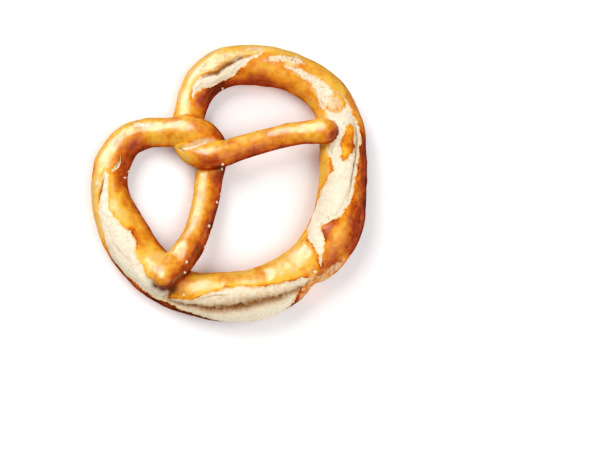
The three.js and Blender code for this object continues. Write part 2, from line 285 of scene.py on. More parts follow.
class Rope:
    """The rope's sections, half a millimetre apart, with the directions ahead, outer and up at each."""

    def __init__(self):
        fine = np.linspace(0.0, len(ROUTE) - 1.0, STEPS_PER_STATION * len(ROUTE))
        walk = along_route(fine)
        arc = np.concatenate([[0.0], np.cumsum(np.linalg.norm(np.diff(walk[:, :3], axis=0), axis=1))])
        self.arc = np.arange(0.0, arc[-1], SAMPLE_MM)
        self.station = np.interp(self.arc, arc, fine)
        sections = along_route(self.station)
        self.centre = sections[:, :3]
        self.radius = sections[:, 3]
        self.ahead = unit(np.gradient(self.centre, axis=0))
        self.outer = unit(np.cross((0.0, 0.0, 1.0), self.ahead))
        self.up = np.cross(self.ahead, self.outer)

    def arc_at(self, station):
        return np.interp(station, self.station, self.arc)

    def parts(self, points, index):
        """Offsets of points from sections: outward, upward, ahead, and the distance to the surface."""
        offset = points - self.centre[index]
        out = (offset * self.outer[index]).sum(-1)
        high = (offset * self.up[index]).sum(-1)
        ahead = (offset * self.ahead[index]).sum(-1)
        reach = np.sqrt(out**2 + (high / HEIGHT_TO_WIDTH) ** 2 + ahead**2) - self.radius[index]
        return out, high, ahead, reach

    def nearest(self, points, away_from=None):
        """The section that each point belongs to, or the nearest one well away from the given arcs."""
        coarse = np.arange(0, len(self.arc), COARSE)
        best = np.empty(len(points), int)
        for start in range(0, len(points), POINTS_AT_A_TIME):
            some = slice(start, start + POINTS_AT_A_TIME)
            reach = self.parts(points[some, None, :], coarse[None, :])[3]
            if away_from is not None:
                near = np.abs(self.arc[coarse][None, :] - away_from[some, None]) < OTHER_STRAND_MM
                reach = np.where(near, np.inf, reach)
            best[some] = coarse[reach.argmin(1)]
        window = np.clip(best[:, None] + np.arange(-COARSE, COARSE + 1), 0, len(self.arc) - 1)
        reach = self.parts(points[:, None, :], window)[3]
        return window[np.arange(len(points)), reach.argmin(1)]

    def surface(self, points, index):
        """Distance to the rope's own surface and the outward direction there."""
        out, high, ahead, _ = self.parts(points, index)
        ahead = ahead - np.clip(ahead, -SAMPLE_MM, SAMPLE_MM)  # left over only past a tip
        reach = np.sqrt(out**2 + (high / HEIGHT_TO_WIDTH) ** 2 + ahead**2)
        direction = unit(
            out[:, None] * self.outer[index]
            + (high / HEIGHT_TO_WIDTH**2)[:, None] * self.up[index]
            + ahead[:, None] * self.ahead[index]
        )
        return reach - self.radius[index], direction

    def flat_map(self, points, index):
        """Points on the flat map of the rope, which runs round from the underside to the underside."""
        out, high, _, _ = self.parts(points, index)
        degrees = np.degrees(np.arctan2(high / HEIGHT_TO_WIDTH, out))
        return laid_flat(self.arc[index], np.where(degrees < -90.0, degrees + 360.0, degrees))


ROPE = Rope()


def soft_least(a, b, blend):
    """The smaller of two distances with a rounded join, and the share of a in it."""
    share = np.clip(0.5 + 0.5 * (b - a) / blend, 0.0, 1.0)
    return b * (1 - share) + a * share - blend * share * (1 - share), share


def nearness(points, x, y, height, reach):
    """1 at a place given in millimetres, falling softly away over the reach."""
    away = np.linalg.norm(points - (x, y, height), axis=1)
    return np.exp(-((away / reach) ** 2))


def dough(points):
    """Distance to the baked knot, its outward direction, own section, and distance to another strand."""
    own = ROPE.nearest(points)
    other = ROPE.nearest(points, away_from=ROPE.arc[own])
    here, out_here = ROPE.surface(points, own)
    there, out_there = ROPE.surface(points, other)
    *place, softness = SOFT_JOIN
    reach, share = soft_least(here, there, SEAM_MM + softness * nearness(points, *place))
    out = unit(out_here * share[:, None] + out_there * (1 - share[:, None]))
    # the table cuts a flat base with a rounded rim
    above, kept = soft_least(-reach, points[:, 2], RIM_MM)
    out = unit(out * kept[:, None] + np.array((0.0, 0.0, -1.0)) * (1 - kept[:, None]))
    return -above, out, own, there


# --------------------------------------------------------------------------------------------
# Small tools

NOISE_FADE = 0.9  # how fast the finer octaves fade
NOISE_FINER = 2.1  # each octave is this much finer than the one before
OUTLINE_STEPS = 4  # points along each side of an outline
# Noises by name: for each layer its strength, width in millimetres, octaves and seed.
NOISES = {
    "tear_edge": ((0.7, 4.2, 2, 1.0), (0.4, 1.7, 2, 8.0)),
    "patch_edge": ((1.2, 4.5, 3, 13.0),),
    "curl": ((1.0, 8.0, 2, 7.0),),
    "crevice": ((1.0, 1.9, 3, 9.0),),
    "crumb": ((0.34, 6.0, 2, 2.0), (0.1, 1.4, 3, 3.0)),
    "layers": ((2.5, 7.0, 2, 12.0),),
    "scuffed": ((0.2, 1.6, 3, 4.0),),
    "plump": ((0.42, 15.0, 2, 5.0), (0.26, 6.0, 2, 10.0)),
    "browning": ((0.12, 14.0, 2, 6.0), (0.1, 6.0, 2, 11.0)),
}


def smooth(value, low, high):
    """0 below low, 1 above high, and a smooth step between them."""
    t = np.clip((value - low) / (high - low), 0.0, 1.0)
    return t * t * (3 - 2 * t)


def noise_at(points, name):
    """The named noise at each point: each layer runs from about minus to plus its strength."""
    total = np.zeros(len(points))
    for strength, width, octaves, seed in NOISES[name]:
        shift = Vector((seed * 7.3, seed * -3.1, seed * 5.7))
        spots = (Vector(point) / width + shift for point in points)
        values = [noise.fractal(spot, NOISE_FADE, NOISE_FINER, octaves) for spot in spots]
        total += strength * np.array(values)
    return total


def close_loop(points):
    """A smooth closed outline through a few chosen points."""
    ring = np.array(points, float)[:, None, :]
    shares = (np.arange(OUTLINE_STEPS) / OUTLINE_STEPS)[None, :, None]
    sides = spline(*(np.roll(ring, -k, axis=0) for k in (-1, 0, 1, 2)), shares)
    return sides.reshape(-1, 2)


def unrolled(points):
    """(station, degrees) pairs on the flat map of the rope."""
    points = np.asarray(points, float)
    return laid_flat(ROPE.arc_at(points[:, 0]), points[:, 1])


def distance_to_path(flat, path, closed=False):
    """Distance in millimetres from points to a path; + is inside a closed one, or left of an open one."""
    ends = np.roll(path, -1, axis=0)
    starts = path
    if not closed:
        starts, ends = path[:-1], path[1:]
    nearest = np.full(len(flat), np.inf)
    positive = np.zeros(len(flat), bool)
    for a, b in zip(starts, ends):
        edge = b - a
        offset = flat - a
        t = np.clip((offset @ edge) / max(edge @ edge, 1e-9), 0.0, 1.0)
        away = np.linalg.norm(offset - t[:, None] * edge, axis=1)
        if closed and a[1] != b[1]:
            crosses = (a[1] > flat[:, 1]) != (b[1] > flat[:, 1])
            level = a[0] + offset[:, 1] * edge[0] / edge[1]
            positive ^= crosses & (flat[:, 0] < level)
        if not closed:
            left = edge[0] * offset[:, 1] > edge[1] * offset[:, 0]
            positive = np.where(away < nearest, left, positive)
        nearest = np.minimum(nearest, away)
    return np.where(positive, nearest, -nearest)


def inside(flat, outline):
    """Millimetres inside a smooth outline on the rope, negative outside it."""
    return distance_to_path(flat, unrolled(close_loop(outline)), closed=True)


def as_mesh(bm, name):
    """Turns a bmesh into a mesh and frees it."""
    mesh = bpy.data.meshes.new(name)
    bm.to_mesh(mesh)
    bm.free()
    return mesh


# --------------------------------------------------------------------------------------------
# The dough's mesh

LENGTHS = ((0.0, 13.0), (13.0, 33.0), (33.0, len(ROUTE) - 1.0))  # none of these crosses itself
OVERLAP = 0.3  # stations that each length runs into the next, so that they melt together
TUBE_SIDES = 24
TUBE_STEP_MM = 3.0
TIP_TURNS = (25, 50, 70, 84)  # degrees toward the end of a rounded tip, one for each ring
COARSE_ROUNDS = 4
FINE_ROUNDS = 2
DETAIL_REACH_MM = 2.0  # the mesh is finer this far outside a tear
END_SHARE = 0.04  # a crevice keeps the narrow end that it has this far along


def add_tube(bm, first, last):
    """Adds one closed length of rope between two stations, rounded where the rope ends."""
    end = len(ROPE.arc) - 1
    a, b = (min(int(round(ROPE.arc_at(s) / SAMPLE_MM)), end) for s in (first, last))
    rows = [(i, 1.0, 0.0) for i in np.linspace(a, b, int((b - a) * SAMPLE_MM / TUBE_STEP_MM)).astype(int)]
    turns = np.radians(TIP_TURNS)
    if a == 0:
        rows = [(a, math.cos(turn), -math.sin(turn) * ROPE.radius[a]) for turn in turns[::-1]] + rows
    if b == end:
        rows += [(b, math.cos(turn), math.sin(turn) * ROPE.radius[b]) for turn in turns]
    rings = []
    for i, share, slide in rows:
        ring = []
        for side in range(TUBE_SIDES):
            turn = math.tau * side / TUBE_SIDES
            reach = ROPE.radius[i] * share
            spot = ROPE.centre[i] + slide * ROPE.ahead[i] + reach * math.cos(turn) * ROPE.outer[i]
            spot = spot + reach * HEIGHT_TO_WIDTH * math.sin(turn) * ROPE.up[i]
            ring.append(bm.verts.new(spot))
        rings.append(ring)
    for near, far in zip(rings, rings[1:]):
        for side in range(TUBE_SIDES):
            after = (side + 1) % TUBE_SIDES
            bm.faces.new((near[side], near[after], far[after], far[side]))
    bm.faces.new(list(reversed(rings[0])))
    bm.faces.new(rings[-1])


def joined_tubes(grain_mm):
    """The three lengths of rope melted into one even mesh, in millimetres."""
    bm = bmesh.new()
    for first, last in LENGTHS:
        add_tube(bm, max(first - OVERLAP, 0.0), min(last + OVERLAP, len(ROUTE) - 1.0))
    bmesh.ops.recalc_face_normals(bm, faces=bm.faces)
    rough = as_mesh(bm, "rough_dough")
    holder = bpy.data.objects.new("rough_dough", rough)
    bpy.context.scene.collection.objects.link(holder)
    melt = holder.modifiers.new("Melt", "REMESH")
    melt.mode = "VOXEL"
    melt.voxel_size = grain_mm
    melted = bpy.data.meshes.new_from_object(holder.evaluated_get(bpy.context.evaluated_depsgraph_get()))
    bpy.data.objects.remove(holder)
    bpy.data.meshes.remove(rough)
    return melted


def settle(bm, rounds):
    """Moves every vertex onto the true surface of the baked knot."""
    points = np.array([v.co for v in bm.verts], float)
    for _ in range(rounds):
        distance, out, _, _ = dough(points)
        points -= distance[:, None] * out
    for vert, spot in zip(bm.verts, points):
        vert.co = spot
    return points


def tear_distance(flat):
    """Millimetres inside the nearest tear, negative on the crust."""
    depth = np.max([inside(flat, outline) for outline in TEARS.values()], axis=0)
    for outline in ISLANDS.values():
        depth = np.minimum(depth, -inside(flat, outline))
    return depth


def patch_mask(flat, patches, edge_mm):
    """Strength of the strongest patch at each point, fading over edge_mm on both sides of its outline."""
    masks = [share * smooth(inside(flat, outline), -edge_mm, edge_mm) for share, outline in patches]
    return np.max(masks, axis=0)


def crevice_depth(flat):
    """Depth in millimetres of the crevices, and masks of 0 to 1 for painted shade towards their bottoms and
    down their slopes.
    """
    depth = np.zeros(len(flat))
    shaded_hollow = np.zeros(len(flat))
    shade = np.zeros(len(flat))
    for name, (half_width, deep, path) in CREVICES.items():
        slope_width, slope_deep = SLOPES.get(name, (1.0, 0.0))
        line = unrolled(path)
        side = distance_to_path(flat, line)
        # each crevice narrows toward both ends
        span = line[-1] - line[0]
        axis = int(np.abs(span).argmax())
        share = np.clip((flat[:, axis] - line[0, axis]) / span[axis], END_SHARE, 1.0 - END_SHARE)
        taper = np.sqrt(np.sin(np.pi * share))
        away = np.abs(side) / (half_width * (0.4 + 0.6 * taper))
        slope = np.exp(-((side / np.where(side > 0, slope_width, half_width)) ** 2))
        depth = np.maximum(depth, (deep * np.exp(-(away**2)) + slope_deep * slope) * taper)
        shaded_hollow = np.maximum(shaded_hollow, min(deep, 1.0) * np.exp(-((away / 1.1) ** 2)) * taper)
        shade = np.maximum(shade, slope * min(slope_deep, 1.0) * taper)
    return depth, shaded_hollow, shade


def fold_masks(points):
    """The pressed band of the twist, the pale line along it and the dulled crust beside it, each 0 to 1."""
    plan = points[:, :2]
    high = smooth(points[:, 2], FOLD_ABOVE_MM - 1.0, FOLD_ABOVE_MM + 1.0)
    within = distance_to_path(plan, close_loop(FOLD_BAND), closed=True)
    band = smooth(within, -0.4, 0.5)
    dulled = smooth(within, -5.0, -1.5)
    line = np.exp(-((distance_to_path(plan, np.array(FOLD_LINE)) / FOLD_LINE_MM) ** 2))
    return band * high, line * high, dulled * high


def add_spots(flat, spots):
    """Sum at each point of soft round spots, given as station, degrees, radius and amount."""
    total = np.zeros(len(flat))
    for station, degrees, radius, amount in spots:
        centre = unrolled([(station, degrees)])[0]
        total += amount * np.exp(-(np.linalg.norm(flat - centre, axis=1) / radius) ** 2)
    return total


def needs_detail(points):
    """Which vertices lie near a tear, a crevice, the fold or a worn patch."""
    flat = ROPE.flat_map(points, ROPE.nearest(points))
    chosen = (tear_distance(flat) > -DETAIL_REACH_MM) | (crevice_depth(flat)[1] > 0.15)
    return chosen | (fold_masks(points)[0] > 0.1) | (patch_mask(flat, RUBBED.values(), 1.2) > 0.1)


def refine(bm, chosen):
    """Halves the faces whose vertices are all chosen, so that tears get a finer mesh."""
    bm.edges.ensure_lookup_table()
    edges = [e for e in bm.edges if chosen[e.verts[0].index] and chosen[e.verts[1].index]]
    bmesh.ops.subdivide_edges(bm, edges=edges, cuts=1, use_grid_fill=True)
    bm.verts.index_update()


# --------------------------------------------------------------------------------------------
# The dough's relief and browning

TEAR_EDGE_MM = 0.35  # half the width over which crust gives way to crumb
TEAR_REACH_MM = 6.0  # no tear wanders farther than this
WORN_FRAY = 1.2  # how much more an edge frays where the skin is worn
WORN_FLATNESS = 0.8  # how much of the crumb's step is lost there
LIP_WIDTH_MM = 3.0
LAYER_HEIGHT_MM = 0.14  # of the drawn layers in the crumb
LAYER_TURNS = 2.7  # radians of their ripple in a millimetre
CREVICE_WANDER = 0.45  # how unevenly deep a crevice is
BAND_DEPTH_MM = 0.7
LINE_RISE_MM = 0.35
CRANNY_DEPTH_MM = 0.8
KNOB_RISE_MM = 0.8  # of the rope's rounded ends
KNOB_LENGTH_MM = 5.0
NECK_DEPTH_MM = 0.35  # of the waist behind each end
NECK_AT_MM = 12.0
NECK_LENGTH_MM = 4.0
SIDE_AWAY_FROM_KEY_LIGHT = np.array((0.5, -0.87, 0.0))  # the side turned away from the key light, painted darker as shade
TOP_BAKE = 0.38
LOW_BAKE_AND_SHADE = 0.2  # more low on the sides: partly browning, partly painted shade
PAINTED_SHADE_BAKE = 0.44  # more on the side away from the key light: painted shade
PAINTED_LIGHT_BAKE = 0.1  # less on the side toward the key light: painted light
PALE_AND_LIT_BAKE = 0.2  # less in the pale stretches: partly browning, partly painted light


def ragged_tears(points, flat, rub):
    """Millimetres inside the nearest tear, with ragged edges that fray more where the skin is worn."""
    tear = tear_distance(flat)
    close = tear > -TEAR_REACH_MM
    tear[close] += noise_at(points[close], "tear_edge") * (1.0 + WORN_FRAY * rub[close])
    return tear


def crumb_relief(points, tear, rub, shape):
    """Height of the open crumb: a step down at its edge, a swell in its middle and a rough face."""
    step = (-shape.sink + (shape.sink + shape.swell) * smooth(tear, 0.2, 5.0)) / MM
    rough = np.zeros(len(points))
    near = tear > -1.0
    rough[near] = noise_at(points[near], "crumb")
    layers = np.sin(LAYER_TURNS * tear + noise_at(points, "layers"))
    layers *= smooth(tear, 0.0, 1.0) * smooth(-tear, -7.0, -2.0)
    return step * (1 - WORN_FLATNESS * rub) + rough + LAYER_HEIGHT_MM * layers


def swelling(points, flat, other):
    """The dough's uneven plumpness, with a knob and a neck at each end of the rope."""
    swell = noise_at(points, "plump")
    for tip in (0.0, ROPE.arc[-1]):
        from_tip = np.abs(flat[:, 0] - tip)
        knob = KNOB_RISE_MM * np.exp(-((from_tip / KNOB_LENGTH_MM) ** 2))
        knob -= NECK_DEPTH_MM * np.exp(-(((from_tip - NECK_AT_MM) / NECK_LENGTH_MM) ** 2))
        swell += knob * smooth(other, 1.0, 8.0)
    *place, rise = TIP_SWELLING
    return swell + rise * nearness(points, *place)


def browning(points, flat, out):
    """How far each point browned, 0 to 1, with painted shade and light mixed in: darker low down, painted
    shade on the side away from the key light and painted light on the side toward it.
    """
    lean = 1.0 - out[:, 2]
    away_from_light = out @ unit(SIDE_AWAY_FROM_KEY_LIGHT)
    bake_light_and_shade = TOP_BAKE + LOW_BAKE_AND_SHADE * smooth(lean, 0.4, 1.2)
    # painted shade on the side away from the key light, painted light on the side toward it
    bake_light_and_shade += PAINTED_SHADE_BAKE * smooth(away_from_light, -0.05, 0.85) - PAINTED_LIGHT_BAKE * smooth(-away_from_light, 0.1, 0.8)
    bake_light_and_shade += noise_at(points, "browning") + add_spots(flat, SPOTS)
    bake_light_and_shade -= PALE_AND_LIT_BAKE * patch_mask(flat, ((1.0, outline) for outline in PALE_AND_LIT_CRUST.values()), 3.0)
    return np.clip(bake_light_and_shade, 0.0, 1.0)


def sculpt(points, shape):
    """The points moved outward into the baked surface, the masks that colour it, and its flat map."""
    _, out, own, other = dough(points)
    flat = ROPE.flat_map(points, own)
    clear = smooth(other, 0.3, 3.0)  # dough pressed against another strand stays whole
    rub = patch_mask(flat + noise_at(points, "patch_edge")[:, None], RUBBED.values(), 1.5)
    tear = ragged_tears(points, flat, rub)
    torn = smooth(tear, -TEAR_EDGE_MM, TEAR_EDGE_MM) * clear
    curl = smooth(noise_at(points, "curl"), -0.35, 0.45)
    lip = shape.lip / MM * curl**2 * smooth(tear, -LIP_WIDTH_MM, -TEAR_EDGE_MM)
    lip *= (1 - torn) * clear * (1 - rub)
    gap, shaded_hollow, shade = crevice_depth(flat)
    wander = noise_at(points, "crevice")
    gap *= (1.0 + CREVICE_WANDER * wander) * clear
    scuffed = noise_at(points, "scuffed") * np.maximum(rub, shaded_hollow)
    band, line, dulled = fold_masks(points)
    # the cranny's dent, and its mask of painted shadow
    shaded_cranny = np.max([nearness(points, *place) for place in CRANNY], axis=0)
    pressed = BAND_DEPTH_MM * band - LINE_RISE_MM * line + CRANNY_DEPTH_MM * shaded_cranny + add_spots(flat, DENTS)
    move = lip + torn * crumb_relief(points, tear, rub, shape) + scuffed + swelling(points, flat, other)
    move = (move - gap - pressed) * smooth(points[:, 2], 0.3, 2.5)  # the base stays flat

    gloss = smooth(out[:, 2], 0.15, 0.8) * (1.0 - smooth(tear, -4.0, -0.2) * smooth(other, 0.0, 5.0))
    masks = {
        "tear": np.clip(tear, -8.0, 8.0),
        "shaded_hollow": np.clip(shaded_hollow * clear * (1.0 + 0.5 * wander), 0.0, 1.0),
        "shaded_cranny": np.clip(1.4 * shaded_cranny, 0.0, 1.0),
        "shade": shade * clear,
        "curl": curl,
        "bake_light_and_shade": browning(points, flat, out),
        "rub": rub,
        "band": band,
        "line": line,
        # where two strands meet, for the painted shade in the seam
        "painted_seam_shade": 1.0 - smooth(other, 0.0, 2.2),
        "gloss": gloss * (1.0 - 0.85 * dulled),
        "base": 1.0 - smooth(points[:, 2], 0.05, 0.9),
    }
    return points + out * move[:, None], masks, np.column_stack([flat, np.zeros(len(flat))])


def dough_mesh(shape):
    """The finished pretzel mesh, in metres, with its masks as attributes."""
    melted = joined_tubes(shape.grain / MM)
    bm = bmesh.new()
    bm.from_mesh(melted)
    bpy.data.meshes.remove(melted)
    refine(bm, needs_detail(settle(bm, COARSE_ROUNDS)))
    points, masks, flow = sculpt(settle(bm, FINE_ROUNDS), shape)
    points[:, 2] = np.maximum(points[:, 2], 0.0)
    for vert, spot in zip(bm.verts, points):
        vert.co = Vector(spot) * MM
    for face in bm.faces:
        face.smooth = True
    mesh = as_mesh(bm, "pretzel_dough")
    for name, values in masks.items():
        mesh.attributes.new(name, "FLOAT", "POINT").data.foreach_set("value", values.astype(np.float32))
    vectors = mesh.attributes.new("flow", "FLOAT_VECTOR", "POINT")
    vectors.data.foreach_set("vector", flow.astype(np.float32).ravel())
    return mesh


# --------------------------------------------------------------------------------------------
# Materials

# How far each crust colour has browned.
CRUST_SHADES = {"pale": 0.0, "gold": 0.25, "amber": 0.5, "brown": 0.76, "dark": 1.0}
CRUST_COAT_IOR = 2.1  # the strong shine that lye gives
DRAWN_OUT = (0.07, 0.55, 1.0)  # fibres and creases run along the rope
FADE_FROM_MM = 240.0  # where the table starts to fade into the backdrop
FADE_TO_MM = 620.0


def tint(red, green, blue):
    """A colour given as 0 to 255 on a screen, in the linear values that shaders use."""
    parts = (channel / 255 for channel in (red, green, blue))
    return tuple(c / 12.92 if c <= 0.04045 else ((c + 0.055) / 1.055) ** 2.4 for c in parts)


class Wiring:
    """Adds nodes to a tree, one call a node, and links their sockets."""

    def __init__(self, tree):
        self.tree = tree
        self.column = 0

    def feed(self, socket, value):
        """Links a socket to another socket, or sets its own value."""
        if isinstance(value, bpy.types.NodeSocket):
            self.tree.links.new(value, socket)
        else:
            socket.default_value = (*value, 1.0) if socket.type == "RGBA" else value

    def add(self, kind, inputs=None, **settings):
        node = self.tree.nodes.new(kind)
        node.location = (self.column * 180, -160 * (self.column % 4))
        self.column += 1
        for name, value in settings.items():
            setattr(node, name, value)
        for name, value in (inputs or {}).items():
            self.feed(node.inputs[name], value)
        return node

    def math(self, operation, *values, clamp=False):
        node = self.add("ShaderNodeMath", operation=operation, use_clamp=clamp)
        for socket, value in zip(node.inputs, values):
            self.feed(socket, value)
        return node.outputs[0]

    def times(self, a, b):
        return self.math("MULTIPLY", a, b)

    def more(self, base, extra, amount):
        """The base with an amount of something extra."""
        return self.math("MULTIPLY_ADD", extra, amount, base)

    def step(self, value, low, high, to_low=0.0, to_high=1.0):
        inputs = {"Value": value, "From Min": low, "From Max": high, "To Min": to_low, "To Max": to_high}
        return self.add("ShaderNodeMapRange", inputs, interpolation_type="SMOOTHSTEP").outputs[0]

    def mix(self, share, a, b):
        node = self.add("ShaderNodeMix", data_type="RGBA")
        for socket, value in zip((node.inputs[0], node.inputs[6], node.inputs[7]), (share, a, b)):
            self.feed(socket, value)
        return node.outputs[2]

    def mask(self, name):
        return self.add("ShaderNodeAttribute", attribute_name=name).outputs["Fac"]

    def ramp(self, value, stops, colours):
        node = self.add("ShaderNodeValToRGB", {"Fac": value})
        elements = node.color_ramp.elements
        while len(elements) < len(stops):
            elements.new(0.5)
        for element, place, colour in zip(elements, stops, colours):
            element.position = place
            element.color = (*colour, 1.0)
        return node.outputs["Color"]


def mottle_group():
    """Soft blotches: a noise with its contrast set by Low and High. Shared by every material."""
    found = bpy.data.node_groups.get("Mottle")
    if found:
        return found
    group = bpy.data.node_groups.new("Mottle", "ShaderNodeTree")
    sides = (
        ("Vector", "INPUT", "NodeSocketVector", None),
        ("Scale", "INPUT", "NodeSocketFloat", 1.0),
        ("Detail", "INPUT", "NodeSocketFloat", 4.0),
        ("Low", "INPUT", "NodeSocketFloat", 0.35),
        ("High", "INPUT", "NodeSocketFloat", 0.65),
        ("Mask", "OUTPUT", "NodeSocketFloat", None),
    )
    for name, way, kind, default in sides:
        socket = group.interface.new_socket(name=name, in_out=way, socket_type=kind)
        if default is not None:
            socket.default_value = default
    wire = Wiring(group)
    given = wire.add("NodeGroupInput").outputs
    inputs = {name: given[name] for name in ("Vector", "Scale", "Detail")}
    cloud = wire.add("ShaderNodeTexNoise", {**inputs, "Roughness": 0.55})
    spread = wire.step(cloud.outputs["Fac"], given["Low"], given["High"])
    wire.add("NodeGroupOutput", {"Mask": spread})
    return group


def mottle(wire, vector, scale, low, high, detail=4.0):
    """Blotches from 0 to 1, scale of them to a millimetre."""
    inputs = {"Vector": vector, "Scale": scale, "Detail": detail, "Low": low, "High": high}
    return wire.add("ShaderNodeGroup", inputs, node_tree=mottle_group()).outputs["Mask"]


def swing(wire, vector, scale, low, high, detail=4.0):
    """Mottle from -0.5 to 0.5."""
    return wire.math("SUBTRACT", mottle(wire, vector, scale, low, high, detail), 0.5)


def new_material(name):
    material = bpy.data.materials.new(name)
    material.use_nodes = True
    material.node_tree.nodes.clear()
    return material, Wiring(material.node_tree)


def in_millimetres(wire):
    """Object coordinates in millimetres, so that a scale of 1 means features about 1 mm across."""
    place = wire.add("ShaderNodeTexCoord").outputs["Object"]
    inputs = {"Vector": place, "Scale": 1 / MM}
    return wire.add("ShaderNodeVectorMath", inputs, operation="SCALE").outputs[0]


def finish_material(wire, shader):
    """Adds the Principled BSDF with its sockets set, and joins it to the output."""
    bsdf = wire.add("ShaderNodeBsdfPrincipled", shader)
    wire.add("ShaderNodeOutputMaterial", {"Surface": bsdf.outputs["BSDF"]})


def browned_crust(wire, place, stretch, tear, colours):
    """Crust colour from how far each place has browned, with the painted shade and light in it; darkest on
    curled lips, and with painted shade down in seams.
    """
    rim = wire.times(wire.step(tear, -1.1, -0.1), wire.step(wire.mask("curl"), 0.0, 1.0, 0.2, 1.0))
    rim = wire.times(rim, wire.math("SUBTRACT", 1.0, wire.mask("rub")))
    bake_light_and_shade = wire.mask("bake_light_and_shade")
    for browner, amount in (
        (swing(wire, place, 0.11, 0.3, 0.7, 3.0), 0.2),
        (swing(wire, place, 0.4, 0.3, 0.7, 6.0), 0.13),
        (swing(wire, stretch, 1.0, 0.25, 0.75), 0.07),
        (rim, 0.26),
        # painted shade where two strands meet
        (wire.step(wire.mask("painted_seam_shade"), 0.65, 1.0), 0.34),
    ):
        bake_light_and_shade = wire.more(bake_light_and_shade, browner, amount)
    crusts = [getattr(colours, "crust_" + shade) for shade in CRUST_SHADES]
    crust = wire.ramp(bake_light_and_shade, CRUST_SHADES.values(), crusts)
    speckle = wire.times(mottle(wire, place, 1.1, 0.6, 0.74, 2.0), 0.22)
    return wire.mix(speckle, crust, colours.crust_brown)


def open_crumb(wire, place, fibres, colours):
    """Cream crumb with darker fibres and tan pores."""
    grainy = wire.times(mottle(wire, place, 0.55, 0.35, 0.75, 8.0), 0.6)
    pale = wire.mix(grainy, colours.crumb, colours.crumb_shade)
    pale = wire.mix(wire.times(fibres, 0.35), pale, colours.crumb_shade)
    pores = wire.times(mottle(wire, place, 1.3, 0.55, 0.68, 3.0), mottle(wire, place, 0.14, 0.35, 0.7, 3.0))
    return wire.mix(wire.times(pores, 0.9), pale, colours.crumb_pore_and_shade)


def toasted_crumb(wire, place, tear, pale, colours):
    """Crumb toasted beside the crust, with painted shade down the slopes of the crevices."""
    toasted = wire.mix(wire.step(tear, 1.2, 0.0), pale, colours.crumb_edge)
    shaded = wire.times(wire.mask("shade"), mottle(wire, place, 0.5, 0.1, 0.7, 6.0))
    return wire.mix(shaded, toasted, colours.crumb_pore_and_shade)


def bare_skin(wire, place):
    """Where skin has worn so thin that crumb shows between its flecks."""
    bare = wire.times(wire.mask("rub"), 1.3)
    for fleck in (mottle(wire, place, 0.45, 0.3, 0.7, 6.0), mottle(wire, place, 0.16, 0.3, 0.7, 3.0)):
        bare = wire.more(bare, fleck, -0.45)
    return wire.step(bare, 0.1, 0.75)


def thin_skin(wire, place, pale, colours):
    """Freckled skin with crumb just under it."""
    skin = wire.mix(wire.step(wire.mask("rub"), 0.6, 1.0, 0.3, 0.95), colours.crust_pale, pale)
    freckles = wire.times(mottle(wire, place, 0.8, 0.5, 0.66, 6.0), 0.7)
    return wire.mix(freckles, skin, colours.freckle)


def dough_bump(wire, place, stretch, fibres, open_face):
    """Normals of the rough crumb and of the finely wrinkled crust."""
    crumb = wire.more(wire.times(mottle(wire, place, 1.7, 0.25, 0.75, 8.0), 0.15), fibres, 0.14)
    skin = wire.times(mottle(wire, place, 0.45, 0.2, 0.8, 6.0), 0.11)
    wrinkled = wire.more(skin, mottle(wire, stretch, 1.6, 0.3, 0.7), 0.02)
    height = wire.more(wrinkled, open_face, wire.math("SUBTRACT", crumb, wrinkled))
    return wire.add("ShaderNodeBump", {"Height": height, "Strength": 0.9, "Distance": MM}).outputs["Normal"]


